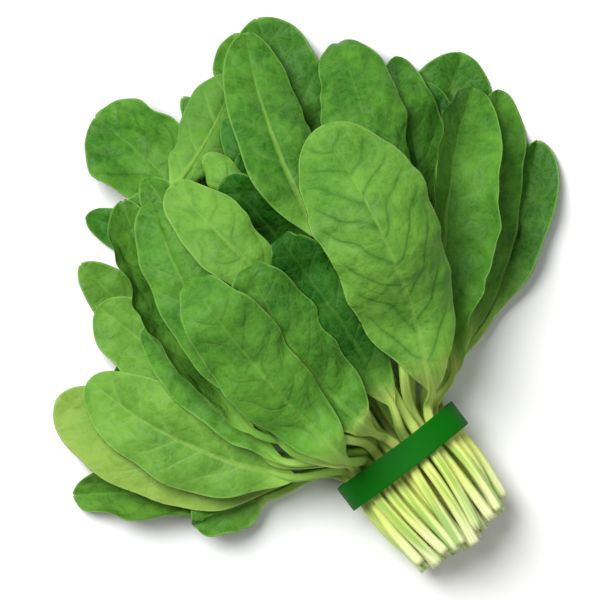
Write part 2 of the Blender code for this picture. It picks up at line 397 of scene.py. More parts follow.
@dataclass
class Heap:
    """Height of everything laid so far, on square cells over the floor."""

    lowest: Vector
    highest: Vector
    cell: float = 1.0 * MM
    edge: float = 15.0 * MM
    gap: float = 0.3 * MM
    passes: int = 60
    samples: int = 4
    heights: np.ndarray = field(init=False, repr=False)

    def __post_init__(self) -> None:
        """Start with the bare floor."""
        spans = np.array(self.highest - self.lowest)[:2] + 2.0 * self.edge
        self.heights = np.zeros(tuple(np.ceil(spans / self.cell).astype(int) + 1))

    def cells(self, points: np.ndarray) -> tuple[np.ndarray, np.ndarray]:
        """Find the cell that each point lies over.

        Args:
            points: points whose last axis is x, y, z.

        Returns:
            Row and column of each point's cell.
        """
        start = np.array(self.lowest)[:2] - self.edge
        found = np.round((points[..., :2] - start) / self.cell).astype(int)
        limit = np.array(self.heights.shape) - 1
        found = np.clip(found, 0, limit)
        return found[..., 0], found[..., 1]

    def lift(self, lower: np.ndarray, free: np.ndarray) -> np.ndarray:
        """How far a leaf's points are lifted to clear everything under them.

        Args:
            lower: the leaf's lower skin, as a grid of points.
            free: how freely each section moves, from 0 to 1.

        Returns:
            An eased height for each point.
        """
        padded = np.pad(self.heights, 1)
        rows, columns = self.heights.shape
        near = np.max(
            [padded[i:i + rows, j:j + columns] for i in range(3) for j in range(3)], axis=0
        )
        need = np.maximum(near[self.cells(lower)] + self.gap - lower[..., 2], 0.0)
        need = need * free[:, None]
        raised = need
        for _ in range(self.passes):
            padded = np.pad(raised, 1, mode="edge")
            around = padded[2:, 1:-1] + padded[:-2, 1:-1] + padded[1:-1, 2:] + padded[1:-1, :-2]
            raised = np.maximum(need, 0.25 * around)
        return raised * np.sqrt(free[:, None])

    def add(self, upper: np.ndarray) -> None:
        """Lay a leaf on the heap.

        Args:
            upper: the leaf's upper skin, as a grid of points.
        """
        for share in np.linspace(0.0, 1.0, self.samples):
            rows = upper[:-1] * (1.0 - share) + upper[1:] * share
            for step in np.linspace(0.0, 1.0, self.samples):
                points = rows[:, :-1] * (1.0 - step) + rows[:, 1:] * step
                np.maximum.at(self.heights, self.cells(points), points[..., 2])


@dataclass
class Leaf:
    """One leaf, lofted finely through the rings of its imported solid."""

    name: str
    rings: LeafRings
    tone: Tone
    look: LeafLook
    seed: int
    stem_sections: int = 36
    blade_sections: int = 86
    points_across: int = 41
    blade_thickness: float = 0.5 * MM
    rib_top: float = 0.3 * MM
    rib_below: float = 1.25 * MM
    vein_depth: float = 0.3 * MM
    groove_width: float = 1.2 * MM
    valley_depth: float = 0.7 * MM
    valley_width: float = 2.2 * MM
    lump_height: float = 0.16 * MM
    wave_height: float = 0.45 * MM
    bend_height: float = 0.45 * MM
    side_swell: float = 0.06
    piece: bpy.types.Object | None = field(default=None, repr=False)

    def sections(self) -> tuple[np.ndarray, np.ndarray, np.ndarray]:
        """Spread the fine sections along the leaf.

        Returns:
            Distance of each packed ring from the cut end, distance of each fine section,
            and each fine section's share of the blade (negative on the stem).
        """
        centres = self.rings.centres()
        steps = np.linalg.norm(np.diff(centres, axis=0), axis=1)
        knots = np.concatenate(((0.0,), np.cumsum(steps)))
        stem = np.linspace(0.0, knots[STEM_RINGS], self.stem_sections, endpoint=False)
        # Blade sections crowd towards the tip, where the outline turns most.
        count = np.linspace(0.0, 1.0, self.blade_sections)
        station = 0.45 * count + 0.55 * (1.0 - (1.0 - count) ** 1.5)
        station[-1] = LAST_STATION
        blade = np.interp(station, BLADE_STATIONS, knots[STEM_RINGS:])
        stem_share = (stem - knots[STEM_RINGS]) / (knots[-1] - knots[STEM_RINGS])
        return knots, np.concatenate((stem, blade)), np.concatenate((stem_share, station))

    def stem_radius(self, knots: np.ndarray, at: np.ndarray, station: np.ndarray) -> np.ndarray:
        """Radius of the stem, which carries on under the blade as the midrib.

        Args:
            knots: distance of each packed ring.
            at: distance of each fine section.
            station: each fine section's share of the blade.

        Returns:
            Radius at each fine section.
        """
        # The midrib has a fifth of the stem's radius left at the tip.
        rings = self.rings.corners[:STEM_RINGS + 1]
        radii = np.linalg.norm(rings - rings.mean(axis=1, keepdims=True), axis=2).mean(axis=1)
        radius = np.interp(at, knots[:STEM_RINGS + 1], radii)
        return radius * (1.0 - 0.8 * smooth_step(station, -0.1, 1.0) ** 0.6)

    def lay_out(self) -> LeafSurface:
        """Run the leaf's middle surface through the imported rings.

        Returns:
            The leaf's grid.
        """
        knots, at, station = self.sections()
        corners = self.rings.corners
        centres = self.rings.centres()
        line = spline(knots, centres, at)
        on_blade = np.clip(station, 0.0, 1.0)
        grown = smooth_step(station, 0.0, 0.15)

        middle_ring = corners.copy()
        middle_ring[:, 1] = 0.5 * (corners[:, 1] + corners[:, 7])
        middle_ring[:, 3] = 0.5 * (corners[:, 3] + corners[:, 5])
        offsets = (middle_ring - centres[:, None])[STEM_RINGS:]
        shape = self.width_shape(BLADE_STATIONS)
        usable = slice(1, len(BLADE_STATIONS) - 1)
        scaled = offsets[usable] / shape[usable, None, None]
        scaled = np.concatenate((scaled[:1], scaled, scaled[-1:]))
        spread = spline(BLADE_STATIONS, scaled, on_blade)
        spread = spread * self.width_shape(on_blade)[:, None, None]
        spread = spread * self.look.slim * self.side_swing(on_blade)[..., None]

        radius = self.stem_radius(knots, at, station)
        width = 0.5 * np.linalg.norm(spread[:, (0, 4)], axis=2).sum(axis=1)
        tapered = radius * (1.0 - smooth_step(station, 0.6, 1.0))
        half_width = np.sqrt(width**2 + tapered**2)

        # On the stem the points lie evenly round it; on the blade they crowd at rib and margins.
        order = np.linspace(1.0, -1.0, self.points_across)[None, :]
        crowded = order - 0.6 * np.sin(FULL_TURN * order) / FULL_TURN
        blend = grown[:, None]
        share = (1.0 - blend) * np.sin(0.5 * math.pi * order) + blend * crowded
        across = share * half_width[:, None]

        forward = unit(np.gradient(line, at, axis=0))
        right = spline(knots, corners[:, 0] - corners[:, 4], at)
        right = unit(right - forward * (right * forward).sum(axis=1, keepdims=True))
        size = np.abs(share)[..., None]
        right_side = (share > 0.0)[..., None]
        half = np.where(right_side, spread[:, None, 1], spread[:, None, 3])
        edge = np.where(right_side, spread[:, None, 0], spread[:, None, 4])
        folded = half * (4.0 * size - 4.0 * size**2) + edge * (2.0 * size**2 - size)
        flat = right[:, None] * across[..., None]
        offset = (1.0 - blend[..., None]) * flat + blend[..., None] * folded
        upward = self.normals(line[:, None] + offset)
        middle = line[:, None] + self.curled(offset, upward, share, on_blade)
        evenly = np.ones_like(across)
        surface = LeafSurface(
            middle=middle,
            normal=self.normals(middle),
            across=across,
            share=share,
            along=(at - knots[STEM_RINGS])[:, None] * evenly,
            from_cut=at[:, None] * evenly,
            grown=grown,
            station=station,
            half_width=half_width,
            radius=radius,
        )
        surface.middle = surface.middle + surface.normal * self.relief(surface)[..., None]
        surface.normal = self.normals(surface.middle)
        return surface

    def curled(
        self, offset: np.ndarray, upward: np.ndarray, share: np.ndarray, station: np.ndarray
    ) -> np.ndarray:
        """Roll each half of the blade up or down along an arc of constant length.

        Args:
            offset: each point's offset from the midrib.
            upward: each point's upward normal.
            share: each point's place across, from -1 to 1.
            station: each section's share of the blade.

        Returns:
            The rolled offsets.
        """
        angle = np.where(share > 0.0, self.look.right, self.look.left)
        strength = np.sin(math.pi * np.clip(station, 0.0, 1.0) ** 0.8) ** 0.6
        turn = np.radians(angle) * np.abs(share) * strength[:, None]
        safe = np.where(np.abs(turn) < 1e-4, 1e-4, turn)[..., None]
        reach = np.linalg.norm(offset, axis=2, keepdims=True)
        return offset * np.sin(safe) / safe + upward * reach * (1.0 - np.cos(safe)) / safe

    def side_swing(self, station: np.ndarray) -> np.ndarray:
        """Swell and draw in each half of the blade slightly.

        Args:
            station: each section's share of the blade.

        Returns:
            A scale for each section and ring corner.
        """
        dice = np.random.default_rng(self.seed + 3000)
        swing = np.ones((len(station), RING_SIDES))
        for corners in ((0, 1, 7), (3, 4, 5)):
            side = np.ones_like(station)
            for cycles in (1.3, 2.4, 4.1):
                turn = dice.uniform(0.0, FULL_TURN)
                height = self.side_swell / cycles * dice.uniform(0.6, 1.4)
                side = side + height * np.sin(FULL_TURN * cycles * station + turn)
            swing[:, corners] = side[:, None]
        return swing

    @staticmethod
    def width_shape(station: np.ndarray) -> np.ndarray:
        """Oval that a blade's half width follows, from 0 at its base to 0 at its tip."""
        return np.maximum(station, 1e-4) ** 0.7 * np.sqrt(np.maximum(1.0 - station, 0.0))

    @staticmethod
    def normals(middle: np.ndarray) -> np.ndarray:
        """Find the upward normals of a surface laid out as a grid.

        Args:
            middle: the grid's points.

        Returns:
            The normal at each point.
        """
        lengthwise = unit(np.gradient(middle, axis=0))
        crosswise = unit(-np.gradient(middle, axis=1))
        return unit(np.cross(crosswise, lengthwise))

    def vein_count(self, surface: LeafSurface) -> np.ndarray:
        """Side veins passed at each point: whole numbers lie on a vein.

        The side veins leave the midrib at about fifty degrees and bend towards the tip near
        the margin. Their spacing wanders, and the two sides don't match.

        Args:
            surface: the leaf's grid.

        Returns:
            A smooth count at each point.
        """
        dice = np.random.default_rng(self.seed)
        side = np.where(surface.across >= 0.0, 1.0, -1.0)
        reach = np.abs(surface.across)
        rise = 0.8 * reach + 0.45 * reach * np.abs(surface.share) ** 1.5
        offset = np.where(side > 0.0, dice.uniform(0.0, 1.0), dice.uniform(0.0, 1.0))
        passed = (surface.along - rise) / VEIN_SPACING + offset
        for _ in range(6):
            length = dice.uniform(14.0, 48.0) * MM
            heading = dice.uniform(0.0, math.pi)
            place = reach * math.cos(heading) + surface.along * math.sin(heading)
            turn = dice.uniform(0.0, FULL_TURN) + side * dice.uniform(0.0, 3.0)
            passed = passed + 0.0022 * length / MM * np.sin(FULL_TURN * place / length + turn)
        return passed

    def relief(self, surface: LeafSurface) -> np.ndarray:
        """Height that veins, quilting and waves add to the blade at each point.

        Args:
            surface: the leaf's grid.

        Returns:
            Height along the normal, in metres.
        """
        dice = np.random.default_rng(self.seed + 1000)
        passed = self.vein_count(surface)
        reach = np.abs(surface.share)
        apart = np.abs(passed - np.round(passed)) * VEIN_SPACING
        inner = smooth_step(reach, 0.02, 0.2) * (1.0 - smooth_step(reach, 0.72, 1.0))
        groove = -0.8 * self.vein_depth * np.exp(-((apart / self.groove_width) ** 2)) * inner
        swell = np.sin(math.pi * (passed - np.floor(passed))) ** 2
        swell = self.vein_depth * swell * np.sin(math.pi * reach) ** 0.8
        valley = -self.valley_depth * np.exp(-((surface.across / self.valley_width) ** 2))
        lumps = sum(self.swells(surface, dice, 6, 9.0, 26.0))
        wave = np.zeros_like(passed)
        for _ in range(3):
            length = dice.uniform(15.0, 36.0) * MM
            turn = dice.uniform(0.0, 6.0)
            side_turn = np.where(surface.across >= 0.0, turn, turn * 1.7 + 2.0)
            wave = wave + np.sin(FULL_TURN * surface.along / length + side_turn)
        margin = smooth_step(reach, 0.5, 1.0)
        ends = 1.0 - smooth_step(surface.station, 0.9, 1.0)
        ends = smooth_step(surface.station, 0.0, 0.2) * ends
        height = self.look.quilt * (groove + swell + self.lump_height * lumps) + valley
        height = height + self.wave_height * self.look.wave * wave * margin * ends[:, None]
        height = height + self.bending(surface, dice)
        return height * surface.grown[:, None]

    def bending(self, surface: LeafSurface, dice: np.random.Generator) -> np.ndarray:
        """Height of the broad bends: a lifted or drooping tip and slack swells.

        Args:
            surface: the leaf's grid.
            dice: source of the leaf's own irregularity.

        Returns:
            Height along the normal, in metres.
        """
        station = np.clip(surface.station, 0.0, 1.0)[:, None]
        height = self.look.tip * MM * smooth_step(station, 0.6, 1.0)
        for swell in self.swells(surface, dice, 3, 32.0, 60.0):
            height = height + self.bend_height * swell
        return height

    @staticmethod
    def swells(
        surface: LeafSurface,
        dice: np.random.Generator,
        count: int,
        shortest: float,
        longest: float,
    ) -> Iterator[np.ndarray]:
        """Give waves that run over the leaf in chance directions.

        Args:
            surface: the leaf's grid.
            dice: source of the leaf's own irregularity.
            count: number of waves.
            shortest: least wave length, in mm.
            longest: greatest wave length, in mm.

        Yields:
            One wave's height at each point, from -1 to 1.
        """
        for _ in range(count):
            length = dice.uniform(shortest, longest) * MM
            heading = dice.uniform(0.0, math.pi)
            place = surface.across * math.cos(heading) + surface.along * math.sin(heading)
            yield np.sin(FULL_TURN * place / length + dice.uniform(0.0, 6.0))

    def skins(self, surface: LeafSurface) -> tuple[np.ndarray, np.ndarray]:
        """Upper and lower skins of the leaf.

        Args:
            surface: the leaf's grid.

        Returns:
            The two skins, as grids of points that meet along the margins.
        """
        rib_top, rib_below = self.rib_top, self.rib_below
        if self.look.face is Face.UNDERSIDE:
            rib_top, rib_below = rib_below, rib_top
        fade = 1.0 - 0.8 * np.clip(surface.station, 0.0, 1.0)
        grown, radius = surface.grown, surface.radius
        top = (1.0 - grown) * radius + grown * rib_top * fade
        below = (1.0 - grown) * radius + grown * rib_below * fade
        rib_width = np.maximum((1.0 - grown) * radius + grown * radius * 0.7, 0.35 * MM)
        inside = 1.0 - (surface.across / rib_width[:, None]) ** 2
        rounded = np.sqrt(np.clip(inside, 0.0, 1.0))
        channel = 1.0 - 0.22 * np.clip(inside, 0.0, 1.0) ** 3 * (1.0 - grown)[:, None]
        blade = 0.5 * self.blade_thickness * (1.0 - np.abs(surface.share) ** 8)
        blade = blade * grown[:, None]
        upper_height = np.maximum(blade, top[:, None] * rounded * channel)
        lower_height = np.maximum(blade, below[:, None] * rounded)
        upper = surface.middle + surface.normal * upper_height[..., None]
        lower = surface.middle - surface.normal * lower_height[..., None]
        return upper, lower

    def build(self, heap: Heap) -> bpy.types.Object:
        """Loft the leaf as one closed body that rests on the heap, and put it in the scene.

        Args:
            heap: what is already laid; the leaf is added to it.

        Returns:
            The leaf's piece.
        """
        surface = self.lay_out()
        upper, lower = self.skins(surface)
        raised = heap.lift(lower, surface.grown)
        upper[..., 2] += raised
        lower[..., 2] += raised
        heap.add(upper)
        sections, points = surface.across.shape
        sides = 2 * (points - 1)
        loop = np.concatenate((upper, lower[:, -2:0:-1]), axis=1)
        columns = np.concatenate((np.arange(points), np.arange(points - 2, 0, -1)))
        shape = bmesh.new()
        bmesh.ops.create_cone(
            shape, cap_ends=True, segments=sides, radius1=1.0, radius2=1.0, depth=1.0
        )
        upright = [
            edge for edge in shape.edges if edge.verts[0].co.z * edge.verts[1].co.z < 0.0
        ]
        bmesh.ops.subdivide_edges(shape, edges=upright, cuts=sections - 2, use_grid_fill=True)
        rows = np.zeros(len(shape.verts), int)
        places = np.zeros(len(shape.verts), int)
        shape.verts.index_update()
        for vertex in shape.verts:
            row = round((vertex.co.z + 0.5) * (sections - 1))
            turn = math.atan2(vertex.co.y, vertex.co.x) / FULL_TURN
            place = round(turn * sides) % sides
            rows[vertex.index] = row
            places[vertex.index] = place
            vertex.co = loop[row, place]
        bmesh.ops.reverse_faces(shape, faces=shape.faces)
        for face in shape.faces:
            end_face = len(face.verts) > 4
            face.smooth = not end_face
            face.material_index = int(end_face and rows[face.verts[0].index] == 0)
        self.piece = put_in_scene(self.name + "_grown", shape)
        self.write_attributes(surface, rows, columns[places], places >= points)
        return self.piece

    def write_attributes(
        self, surface: LeafSurface, rows: np.ndarray, columns: np.ndarray, below: np.ndarray
    ) -> None:
        """Store where each vertex lies on the leaf, for the finishes to read.

        Args:
            surface: the leaf's grid.
            rows: section of each vertex.
            columns: point across of each vertex.
            below: whether each vertex is on the lower skin.
        """
        under = below != (self.look.face is Face.UNDERSIDE)
        rim = (1.0 - np.abs(surface.share)) * surface.half_width[:, None]
        from_tip = surface.from_cut.max() - surface.from_cut
        everywhere = np.ones(len(rows))
        values = {
            "across_mm": surface.across[rows, columns] / MM,
            "along_mm": surface.along[rows, columns] / MM,
            "from_cut_mm": surface.from_cut[rows, columns] / MM,
            "rim_mm": np.minimum(rim, from_tip)[rows, columns] / MM,
            "vein": self.vein_count(surface)[rows, columns],
            "grown": surface.grown[rows],
            "station": np.clip(surface.station[rows], -1.0, 1.0),
            "underside": under.astype(float),
            "light": everywhere * self.look.light,
            "gold": everywhere * self.look.gold,
            "leaf_number": 7.3 * self.seed + 31.0 * below,
            "pale_veins": everywhere * self.look.veins,
            "pale_rib": everywhere * self.look.rib,
            "green_stem": everywhere * self.look.green_stem,
        }
        for name, numbers in values.items():
            attribute = self.piece.data.attributes.new(name, "FLOAT", "POINT")
            attribute.data.foreach_set("value", np.asarray(numbers, np.float32))

    def dress(self, skin: bpy.types.Material, pith: bpy.types.Material) -> None:
        """Give the leaf its finishes, and tie it to the frame.

        Args:
            skin: finish of the whole leaf but its cut end.
            pith: finish of the cut end.
        """
        self.piece.data.materials.append(skin)
        self.piece.data.materials.append(pith)
        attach(self.piece, "root")
        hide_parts(self.name)


# --- Finishes -------------------------------------------------------------------------------

SMOOTH = {"interpolation_type": "SMOOTHSTEP"}
POINT_VALUES = (
    "across_mm", "along_mm", "from_cut_mm", "rim_mm", "vein", "grown", "station", "underside",
    "light", "gold", "leaf_number", "pale_veins", "pale_rib", "green_stem",
)
Adder = Callable[..., bpy.types.NodeSocket]
Sockets = dict[str, bpy.types.NodeSocket]


@dataclass(frozen=True)
class LeafSkin:
    """Live spinach leaf: thin tissue under a waxy cuticle, on a juicy pale petiole.

    The wax gives the eye a broad soft sheen, the quilted tissue between the side veins breaks
    it up, the veins show as fine pale lines or as darker furrows whose shade is painted in, and
    the petiole is smooth, wet-looking and almost white where it was cut. The paler strip along
    the margin is a painted highlight.
    """

    name: str
    blade: str
    # The dark end of a leaf's lightness; on leaves lying in the shade of others it is painted
    # shade.
    shade: str
    pale_vein: str
    # Colour of dark sunken veins: painted shade in the vein furrows.
    vein_groove_shade: str
    rib: str
    # Colour of the pale strip along the margin: a painted highlight.
    margin: str
    underside: str
    gold: str = "#86AC40"
    stem_cut: str = "#F3F6BE"
    stem_low: str = "#E3EB82"
    stem_high: str = "#7DB545"
    net_mm: float = 2.6
    roughness: float = 0.43
    ior: float = 1.42
    specular: float = 0.12

    def material(self) -> bpy.types.Material:
        """Build the node tree of the leaf's skin.

        Returns:
            The finished material.
        """
        made, tree = bare_material(self.name)
        add = partial(add_node, tree)
        at = {
            name: add("Attribute", output="Fac", attribute_name=name) for name in POINT_VALUES
        }
        at["place"] = add("TexCoord", output="Object")
        for name, size, detail in (
            ("patches", 26.0 * MM, 2.0),
            ("blotches", 11.0 * MM, 3.0),
            ("mottle", 4.0 * MM, 3.0),
            ("tissue", 1.1 * MM, 2.0),
        ):
            lumps = {"Vector": at["place"], "Scale": 1.0 / size, "Detail": detail}
            at[name] = add("TexNoise", {**lumps, "Roughness": 0.55})
        at["inward"] = add("Math", (at["across_mm"],), operation="ABSOLUTE")
        self.add_side_veins(add, at)
        self.add_veinlets(add, at)
        self.add_petiole(add, at)
        blade = self.blade_colour(add, at)
        colour = add("Mix", {0: at["grown"], 6: at["petiole"], 7: blade}, 2, data_type="RGBA")
        dullest, glossiest = self.roughness + 0.07, self.roughness - 0.05
        shine = add("MapRange", (at["mottle"], 0.3, 0.7, glossiest, dullest), **SMOOTH)
        shine = add("Math", (at["underside"], 0.12, shine), operation="MULTIPLY_ADD")
        wet = add("MapRange", (at["grown"], 0.0, 1.0, 0.78, 1.0), **SMOOTH)
        skin = add(
            "BsdfPrincipled",
            {
                "Base Color": colour,
                "Roughness": add("Math", (shine, wet), operation="MULTIPLY"),
                "Normal": self.fine_relief(add, at),
                "IOR": self.ior,
                "Specular IOR Level": self.specular,
            },
        )
        add("OutputMaterial", (skin,))
        return made

    def add_side_veins(self, add: Adder, at: Sockets) -> None:
        """Find the nearness to the side veins, as a fine line and a soft halo round it.

        Args:
            add: adds a node to the tree.
            at: the sockets so far; line and halo are added.
        """
        reach = add("MapRange", (at["rim_mm"], 1.5, 9.0), **SMOOTH)
        apart = []
        for shift in (0.0, 0.5):
            count = add("Math", (at["vein"], shift), operation="ADD")
            nearest = add("Math", (count,), operation="ROUND")
            away = add("Math", (count, nearest), operation="SUBTRACT")
            away = add("Math", (away,), operation="ABSOLUTE")
            apart.append(add("Math", (away, VEIN_SPACING / MM), operation="MULTIPLY"))
        line = add("MapRange", (apart[0], 0.2, 1.5, 1.0, 0.0), **SMOOTH)
        line = add("Math", (line, reach), operation="MULTIPLY")
        # The halo spreads the vein colour round each vein: painted shade where the veins are
        # dark.
        halo = add("MapRange", (apart[0], 0.6, 4.0, 1.0, 0.0), **SMOOTH)
        at["halo"] = add("Math", (halo, reach), operation="MULTIPLY")
        # Lesser side veins halfway between the others, which fade out before the midrib.
        outer = add("MapRange", (at["inward"], 4.0, 12.0), **SMOOTH)
        outer = add("Math", (reach, outer), operation="MULTIPLY")
        lesser = add("MapRange", (apart[1], 0.1, 1.1, 1.0, 0.0), **SMOOTH)
        lesser = add("Math", (lesser, outer), operation="MULTIPLY")
        at["line"] = add("Math", (lesser, 0.28, line), operation="MULTIPLY_ADD")

    def add_veinlets(self, add: Adder, at: Sockets) -> None:
        """Lay nets of veinlets between them, coarser than they grow so that they show.

        Args:
            add: adds a node to the tree.
            at: the sockets so far; the distances to the nets' walls are added.
        """
        on_leaf = add("CombineXYZ", (at["across_mm"], at["along_mm"], at["underside"]))
        drift = add("TexNoise", {"Vector": on_leaf, "Scale": 0.3, "Detail": 1.0}, "Color")
        wobbly = add("VectorMath", (drift, (2.4, 2.4, 0.0), on_leaf), operation="MULTIPLY_ADD")
        for name, size in (("fine_net", self.net_mm), ("broad_net", 2.6 * self.net_mm)):
            cells = {"Vector": wobbly, "Scale": 1.0 / size, "Randomness": 0.95}
            at[name] = add("TexVoronoi", cells, "Distance", feature="DISTANCE_TO_EDGE")

    def add_petiole(self, add: Adder, at: Sockets) -> None:
        """Colour the petiole: near white at the cut, yellow-green in the band, then greener.

        Args:
            add: adds a node to the tree.
            at: the sockets so far; petiole and fibres are added.
        """
        above_cut = add("MapRange", (at["from_cut_mm"], 2.0, 30.0), **SMOOTH)
        ends = {6: linear(self.stem_cut), 7: linear(self.stem_low)}
        stem = add("Mix", {0: above_cut, **ends}, 2, data_type="RGBA")
        above_band = add("MapRange", (at["from_cut_mm"], 46.0, 60.0), **SMOOTH)
        greener = add("Math", (at["green_stem"], above_band), operation="MULTIPLY")
        near_blade = add("MapRange", (at["from_cut_mm"], 66.0, 112.0), **SMOOTH)
        greener = add("Math", (greener, near_blade), operation="MAXIMUM")
        # Fibres run along the stem, so the pattern is twenty times as long as it is wide.
        drawn_out = add("Math", (at["from_cut_mm"], 0.05), operation="MULTIPLY")
        on_stem = add("CombineXYZ", (at["across_mm"], drawn_out, at["leaf_number"]))
        fibres, streaks = (
            add(
                "TexNoise",
                {"Vector": on_stem, "Scale": 1.0 / width, "Detail": detail, "Roughness": 0.55},
            )
            for width, detail in ((0.7, 2.0), (2.6, 1.0))
        )
        for share in (
            greener,
            add("MapRange", (streaks, 0.5, 0.68, 0.0, 0.7), **SMOOTH),
            add("MapRange", (fibres, 0.35, 0.75, 0.0, 0.3), **SMOOTH),
        ):
            high = linear(self.stem_high)
            stem = add("Mix", {0: share, 6: stem, 7: high}, 2, data_type="RGBA")
        at["petiole"], at["fibres"] = stem, fibres

    def blade_colour(self, add: Adder, at: Sockets) -> bpy.types.NodeSocket:
        """Colour the blade: lightness in patches, veins, midrib and a painted margin highlight.

        Args:
            add: adds a node to the tree.
            at: the sockets so far.

        Returns:
            The blade's colour.
        """
        # Lightness of the leaf: its own tone, and painted shade on leaves that lie in the shade
        # of others.
        level = add("Math", (at["light"], 0.5, 0.5), operation="MULTIPLY_ADD")
        for name, sway in (("patches", 0.3), ("blotches", 0.2), ("mottle", 0.16)):
            swing = add("MapRange", (at[name], 0.3, 0.7, -sway, sway), **SMOOTH)
            level = add("Math", (level, swing), operation="ADD")
        near_base = add("MapRange", (at["along_mm"], 2.0, 34.0, 0.45, 0.0), **SMOOTH)
        near_rim = add("MapRange", (at["rim_mm"], 1.0, 26.0, 1.0, 0.0), **SMOOTH)
        yellow = add("Math", (at["gold"], near_rim), operation="MULTIPLY")
        patchy = add("MapRange", (at["patches"], 0.25, 0.6, 0.6, 1.0), **SMOOTH)
        yellow = add("Math", (yellow, patchy), operation="MULTIPLY")
        fine = add("MapRange", (at["fine_net"], 0.02, 0.14, 0.7, 0.0), **SMOOTH)
        broad = add("MapRange", (at["broad_net"], 0.01, 0.09, 1.0, 0.0), **SMOOTH)
        net = add("Math", (fine, broad), operation="MAXIMUM")
        half_rib = add("MapRange", (at["station"], 0.0, 1.0, 1.9, 0.35), **SMOOTH)
        rib = add("Math", (at["inward"], half_rib), operation="DIVIDE")
        rib = add("MapRange", (rib, 0.45, 1.15, 1.0, 0.0), **SMOOTH)
        fading = add("MapRange", (at["station"], 0.55, 1.0, 1.0, 0.35), **SMOOTH)
        rib = add("Math", (rib, fading), operation="MULTIPLY")

        # Dark veins are painted shade in the vein furrows and their halo; pale veins are the
        # veins' own colour.
        pale, dark = linear(self.pale_vein), linear(self.vein_groove_shade)
        vein = add("Mix", {0: at["pale_veins"], 6: dark, 7: pale}, 2, data_type="RGBA")
        blade = linear(self.shade)
        for share, paint in (
            (level, linear(self.blade)),
            (near_base, linear(self.stem_high)),
            (yellow, linear(self.gold)),
            (add("Math", (net, 0.16), operation="MULTIPLY"), pale),
            (add("Math", (at["halo"], 0.22), operation="MULTIPLY"), vein),
            (add("Math", (at["line"], 0.38), operation="MULTIPLY"), vein),
        ):
            blade = add("Mix", {0: share, 6: blade, 7: paint}, 2, data_type="RGBA")
        mottled = add("MapRange", (at["mottle"], 0.3, 0.7), **SMOOTH)
        faces = {6: linear(self.underside), 7: blade}
        back = add("Mix", {0: mottled, **faces}, 2, data_type="RGBA")
        raised = add("Math", (at["line"], 0.55), operation="MULTIPLY")
        back = add("Mix", {0: raised, 6: back, 7: pale}, 2, data_type="RGBA")
        for share, paint in (
            (add("Math", (at["underside"], 0.75), operation="MULTIPLY"), back),
            (add("Math", (rib, at["pale_rib"]), operation="MULTIPLY"), linear(self.rib)),
            # Painted highlight: a paler strip along the margin.
            (add("MapRange", (at["rim_mm"], 0.2, 1.3, 0.75, 0.0), **SMOOTH), linear(self.margin)),
        ):
            blade = add("Mix", {0: share, 6: blade, 7: paint}, 2, data_type="RGBA")
        return blade

    def fine_relief(self, add: Adder, at: Sockets) -> bpy.types.NodeSocket:
        """Give relief finer than the mesh: sunken veins, cells of tissue and stem fibres.

        Args:
            add: adds a node to the tree.
            at: the sockets so far.

        Returns:
            The bumped normal.
        """
        height = add("Math", (at["line"], -0.35), operation="MULTIPLY")
        for swelling, share in (
            (add("MapRange", (at["fine_net"], 0.0, 0.3), **SMOOTH), 0.18),
            (add("MapRange", (at["broad_net"], 0.0, 0.35), **SMOOTH), 0.75),
            (at["tissue"], 0.12),
        ):
            height = add("Math", (swelling, share, height), operation="MULTIPLY_ADD")
        height = add("Math", (height, at["grown"]), operation="MULTIPLY")
        on_stem = add("Math", (1.0, at["grown"]), operation="SUBTRACT")
        ridges = add("Math", (at["fibres"], on_stem), operation="MULTIPLY")
        height = add("Math", (ridges, 0.5, height), operation="MULTIPLY_ADD")
        return add("Bump", {"Height": height, "Strength": 0.6, "Distance": 0.6 * MM})


@dataclass(frozen=True)
class CutPith:
    """Freshly cut petiole: wet, whitish flesh with a ring of pale green tubes.

    The eye gets a pale, slightly glossy disc with faint darker specks.
    """

    name: str = "petiole_pith_fresh_cut"
    flesh: str = "#E9EFC4"
    tubes: str = "#B7CC7C"
    speck: float = 1.4 * MM
    roughness: float = 0.32

    def material(self) -> bpy.types.Material:
        """Build the node tree of the cut flesh.

        Returns:
            The finished material.
        """
        made, tree = bare_material(self.name)
        add = partial(add_node, tree)
        place = add("TexCoord", output="Object")
        cells = add("TexVoronoi", {"Vector": place, "Scale": 1.0 / self.speck}, "Distance")
        share = add("MapRange", (cells, 0.15, 0.45), **SMOOTH)
        ends = {6: linear(self.tubes), 7: linear(self.flesh)}
        colour = add("Mix", {0: share, **ends}, 2, data_type="RGBA")
        bump = add("Bump", {"Height": cells, "Strength": 0.5, "Distance": 0.2 * MM})
        wet = {"Base Color": colour, "Roughness": self.roughness, "Normal": bump, "IOR": 1.36}
        add("OutputMaterial", (add("BsdfPrincipled", wet),))
        return made


